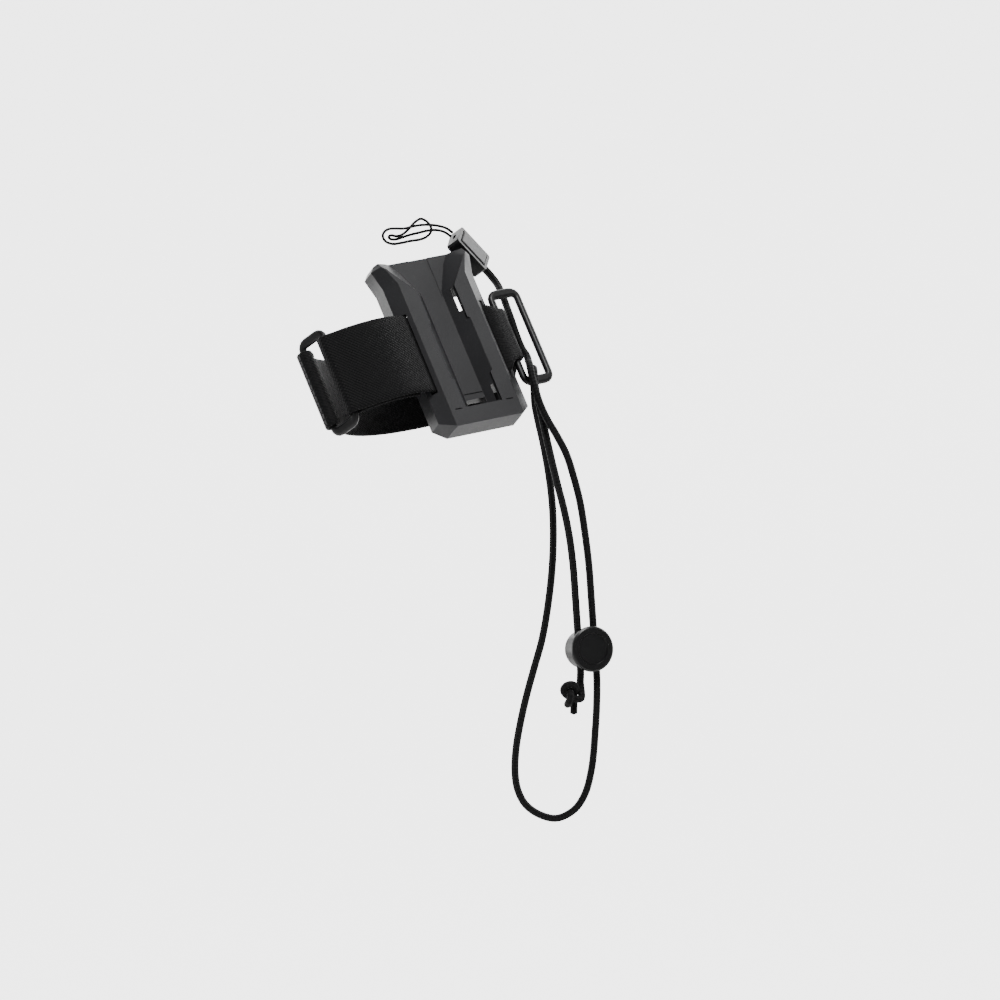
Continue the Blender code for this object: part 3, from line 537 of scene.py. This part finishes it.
STITCH = 0.0022
THREAD = 0.00042
thread_black, thread_shader = start_material("bonded polyester thread", 0.45)
thread_place = add_node(thread_black, "ShaderNodeTexCoord")
thread_twist = add_node(thread_black, "ShaderNodeTexWave", {"Scale": 1400.0, "Distortion": 1.0},
                        {"Vector": thread_place.outputs["Object"]})
thread_ramp = colour_ramp(thread_black, thread_twist.outputs["Fac"], "#0b0b0c", "#2a2a2b")
thread_black.node_tree.links.new(thread_ramp.outputs["Color"], thread_shader.inputs["Base Color"])


def seam_row(name, bar, angle, low, high):
    """A row of stitches up a fold's outside, at an angle round its bar."""
    a = math.radians(angle)
    surface = WRAP + WEBBING / 2 * 1000
    middle = (bar[0] + surface * math.cos(a), bar[1] + surface * math.sin(a))
    count = int((high - low) / (STITCH * 1000 * 1.25))
    stitches = []
    for k in range(count):
        z = low + (high - low) * (k + 0.15) / count
        arch = []
        for share in np.linspace(0, 1, 6):
            lift = 0.16 * math.sin(math.pi * share) - 0.06
            x = middle[0] + lift * math.cos(a)
            y = middle[1] + lift * math.sin(a)
            arch.append(cradle_axes @ Vector((x, y, z + share * STITCH * 1000)) / 1000)
        stitches.append(round_cord(f"{name}_{k}", np.array(arch), THREAD, 6, thread_black))
    bpy.ops.object.select_all(action="DESELECT")
    for stitch in stitches:
        stitch.select_set(True)
    bpy.context.view_layer.objects.active = stitches[0]
    bpy.ops.object.join()
    seam = stitches[0]
    seam.name = name
    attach(seam, "cradle")


seam_row("left_fold_seam_near", far_bar, 330, -22.0, 13.0)
seam_row("left_fold_seam_far", far_bar, 200, -22.0, 13.0)

hooks, hooks_shader = start_material("moulded hook tape", 0.6)
hooks_place = add_node(hooks, "ShaderNodeTexCoord")
hooks_cells = add_node(hooks, "ShaderNodeTexVoronoi", {"Scale": 900.0, "Randomness": 0.25},
                       {"Vector": hooks_place.outputs["Object"]})
hooks_ramp = colour_ramp(hooks, hooks_cells.outputs["Distance"], "#2a2a2b", "#0d0d0e", (0.1, 0.6))
hooks.node_tree.links.new(hooks_ramp.outputs["Color"], hooks_shader.inputs["Base Color"])
hooks_bump = add_node(hooks, "ShaderNodeBump", {"Strength": 0.9, "Distance": 0.0004},
                      {"Height": hooks_cells.outputs["Distance"]})
hooks.node_tree.links.new(hooks_bump.outputs["Normal"], hooks_shader.inputs["Normal"])
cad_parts["hook_tab"].material_slots[0].material = hooks


# ---------------------------------------------------------------- rings
# Two acetal rings, moulded smooth and left a little glossy.

acetal = moulded_abs("smooth acetal moulding", "#0d0d0e", "#131314", 0.36, 1.1)
for side, body in (("right", "right_ring"), ("left", "cradle")):
    ring = rounded_copy(f"{side}_webbing_ring", f"{side}_ring", 0.0005, acetal)
    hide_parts(f"{side}_ring")
    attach(ring, body)


# ---------------------------------------------------------------- connector
# A small snap-together box: the tether is knotted in one end and the lanyard in the other.

box_plastic = moulded_abs("satin ABS box", "#0e0e10", "#151517", 0.4, 0.6)
# The plate is the box's satin ABS painted lighter: a painted highlight for its lit top face.
lit_plate_plastic = moulded_abs("satin ABS plate painted lighter as lit", "#18181a", "#202022", 0.42, 0.6)
box = rounded_copy("connector_box", "connector_body", 0.0003, box_plastic)
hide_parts("connector_body")
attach(box, "right_ring")
plate = rounded_copy("connector_plate", "connector_cover", 0.00025, lit_plate_plastic)
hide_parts("connector_cover")
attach(plate, "right_ring")
for stop in ("tether_stop", "lanyard_stop"):
    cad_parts[stop].material_slots[0].material = fine_braid


# ---------------------------------------------------------------- cord lock
# A button in a cup, both moulded in nylon: the spring pushes the button out to grip the cord.
# The button's stem ends a little short of the cup's floor, even when it is fully pressed.

lock_plastic = moulded_abs("moulded nylon", "#0a0a0b", "#121213", 0.34, 0.9)
LOCK_LEAN = math.radians(-4)
STOP_GAP = 0.0001
END_FACE = 0.00002
tether_turn = Matrix.Rotation(VIEW_TURN, 3, "Z")
lock_turn = tether_turn @ Matrix.Rotation(LOCK_LEAN, 3, "Y") @ tether_turn.inverted()
lock_axis = lock_turn @ Vector((0, 1, 0))
for node, name, body in (("lock_barrel", "lock_cup", "cord_lock"),
                         ("lock_plunger", "lock_push_button", "lock_button")):
    part = rounded_copy(name, node, 0.00018, lock_plastic)
    if body == "lock_button":
        end_off = max(vertex.co @ lock_axis for vertex in part.data.vertices) - END_FACE
        for vertex in part.data.vertices:
            if vertex.co @ lock_axis > end_off:
                vertex.co -= lock_axis * STOP_GAP
    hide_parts(node)
    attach(part, body)


# ---------------------------------------------------------------- floor and light
# A pale paper sweep well behind and below, which glows above the floor as a lit backdrop
# does, and three soft studio lights.

FLOOR = -0.6
GLOW_FROM = FLOOR + 0.12
SWEEP_BACK = 1.2
SWEEP_CURVE = 0.6
SWEEP_SIDE = 3.0
sweep_rows = [(-4.0, FLOOR)]
for step in range(13):
    angle = math.radians(90 * step / 12)
    sweep_rows.append((SWEEP_BACK + SWEEP_CURVE * math.sin(angle),
                       FLOOR + SWEEP_CURVE - SWEEP_CURVE * math.cos(angle)))
sweep_rows.append((SWEEP_BACK + SWEEP_CURVE, 4.0))
sweep_points = []
for back, rise in sweep_rows:
    for side in (-SWEEP_SIDE, SWEEP_SIDE):
        sweep_points.append(right_way * side + view_way * back + Vector((0, 0, rise)))
sweep_faces = [(2 * k, 2 * k + 1, 2 * k + 3, 2 * k + 2) for k in range(len(sweep_rows) - 1)]
sweep_mesh = bpy.data.meshes.new("studio_sweep")
sweep_mesh.from_pydata(sweep_points, [], sweep_faces)
sweep_mesh.shade_smooth()
paper, paper_shader = start_material("pale paper", 0.9)
paper_shader.inputs["Emission Color"].default_value = linear("#ffffff")
paper_place = add_node(paper, "ShaderNodeTexCoord")
paper_grain = add_node(paper, "ShaderNodeTexNoise", {"Scale": 40.0},
                       {"Vector": paper_place.outputs["Object"]})
paper_ramp = colour_ramp(paper, paper_grain.outputs["Fac"], "#d9d9d8", "#dedede")
paper.node_tree.links.new(paper_ramp.outputs["Color"], paper_shader.inputs["Base Color"])
paper_height = add_node(paper, "ShaderNodeSeparateXYZ",
                        links={"Vector": paper_place.outputs["Object"]})
paper_glow = add_node(paper, "ShaderNodeMapRange",
                      {"From Min": FLOOR, "From Max": GLOW_FROM, "To Min": 0.05, "To Max": 3.2},
                      {"Value": paper_height.outputs["Z"]})
paper.node_tree.links.new(paper_glow.outputs["Result"], paper_shader.inputs["Emission Strength"])
sweep_mesh.materials.append(paper)
sweep = bpy.data.objects.new("studio_sweep", sweep_mesh)
bpy.context.scene.collection.objects.link(sweep)


def soft_light(name, side, back, rise, size, power):
    """An area light aimed at the cradle, placed to the right, back and up from it."""
    data = bpy.data.lights.new(name, "AREA")
    data.size = size
    data.energy = power
    light = bpy.data.objects.new(name, data)
    bpy.context.scene.collection.objects.link(light)
    light.location = right_way * side + view_way * back + Vector((0, 0, rise))
    to_part = Vector((0, 0, -0.05)) - light.location
    light.rotation_euler = to_part.to_track_quat("-Z", "Y").to_euler()


soft_light("key", 0.35, -0.9, 1.4, 0.5, 30)
soft_light("left", -1.3, 0.45, -0.1, 0.6, 6.5)
soft_light("right", 1.2, 0.7, 0.9, 0.4, 8)
world = bpy.data.worlds.new("studio")
world.use_nodes = True
world.node_tree.nodes["Background"].inputs["Color"].default_value = linear("#ffffff")
world.node_tree.nodes["Background"].inputs["Strength"].default_value = 0.24
bpy.context.scene.world = world
